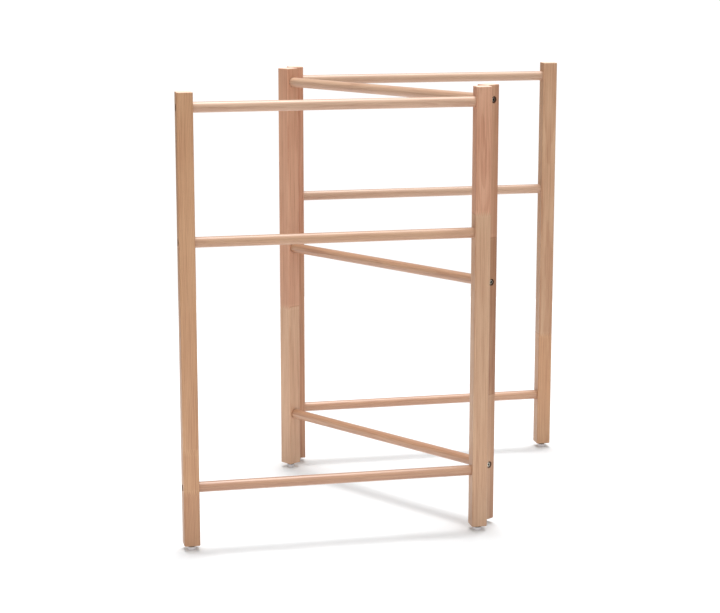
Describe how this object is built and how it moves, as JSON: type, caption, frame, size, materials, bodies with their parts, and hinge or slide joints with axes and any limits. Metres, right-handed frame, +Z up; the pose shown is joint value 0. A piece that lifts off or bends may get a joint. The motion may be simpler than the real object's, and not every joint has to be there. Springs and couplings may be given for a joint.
{
  "type": "folding clothes drying rack",
  "caption": "Floor-standing wooden clothes rack: upright frames with round rails, hinged in a zigzag, that folds flat for storage.",
  "frame": {"origin": "centre of the open rack's footprint, on the floor under the glides", "axes": "+Z up; +X along the front frame from its free end to its hinged end; +Y from the front frame to the rear frame"},
  "size_m": [1.0426, 0.68, 1],
  "materials": {
    "post_wood": "clear matt lacquer on finger-jointed hardwood",
    "rail_wood": "clear matt lacquer on turned hardwood dowel",
    "bolt_steel": "zinc plated",
    "insert_brass": "plain",
    "glide_nylon": "satin",
    "nail_steel": "plain",
    "hinge_steel": "zinc plated",
    "screw_steel": "zinc plated"
  },
  "bodies": {
    "front_frame": {"front_left_post": "post_wood", "front_right_post": "post_wood", "front_top_rail": "rail_wood", "front_mid_rail": "rail_wood", "front_bottom_rail": "rail_wood", "front_rail_bolts": "bolt_steel", "front_rail_inserts": "insert_brass", "front_left_glide": "glide_nylon", "front_right_glide": "glide_nylon", "front_glide_nails": "nail_steel", "upper_right_hinge_front_leaf": "hinge_steel", "lower_right_hinge_front_leaf": "hinge_steel", "upper_right_hinge_pin": "hinge_steel", "lower_right_hinge_pin": "hinge_steel", "right_hinge_front_screws": "screw_steel"},
    "middle_frame": {"middle_left_post": "post_wood", "middle_right_post": "post_wood", "middle_top_rail": "rail_wood", "middle_mid_rail": "rail_wood", "middle_bottom_rail": "rail_wood", "middle_rail_bolts": "bolt_steel", "middle_rail_inserts": "insert_brass", "middle_left_glide": "glide_nylon", "middle_right_glide": "glide_nylon", "middle_glide_nails": "nail_steel", "upper_right_hinge_middle_leaf": "hinge_steel", "lower_right_hinge_middle_leaf": "hinge_steel", "upper_left_hinge_middle_leaf": "hinge_steel", "lower_left_hinge_middle_leaf": "hinge_steel", "right_hinge_middle_screws": "screw_steel", "left_hinge_middle_screws": "screw_steel"},
    "rear_frame": {"rear_left_post": "post_wood", "rear_right_post": "post_wood", "rear_top_rail": "rail_wood", "rear_mid_rail": "rail_wood", "rear_bottom_rail": "rail_wood", "rear_rail_bolts": "bolt_steel", "rear_rail_inserts": "insert_brass", "rear_left_glide": "glide_nylon", "rear_right_glide": "glide_nylon", "rear_glide_nails": "nail_steel", "upper_left_hinge_rear_leaf": "hinge_steel", "lower_left_hinge_rear_leaf": "hinge_steel", "upper_left_hinge_pin": "hinge_steel", "lower_left_hinge_pin": "hinge_steel", "left_hinge_rear_screws": "screw_steel"}
  },
  "joints": [
    {"name": "front_fold", "type": "hinge", "parent": "middle_frame", "child": "front_frame", "pos_m": [0.16724, -0.30349, 0.5], "axis": [0, 0, 1], "range_deg": [-58, 122]},
    {"name": "rear_fold", "type": "hinge", "parent": "middle_frame", "child": "rear_frame", "pos_m": [-0.16724, 0.30349, 0.5], "axis": [0, 0, 1], "range_deg": [-58, 122]}
  ]
}
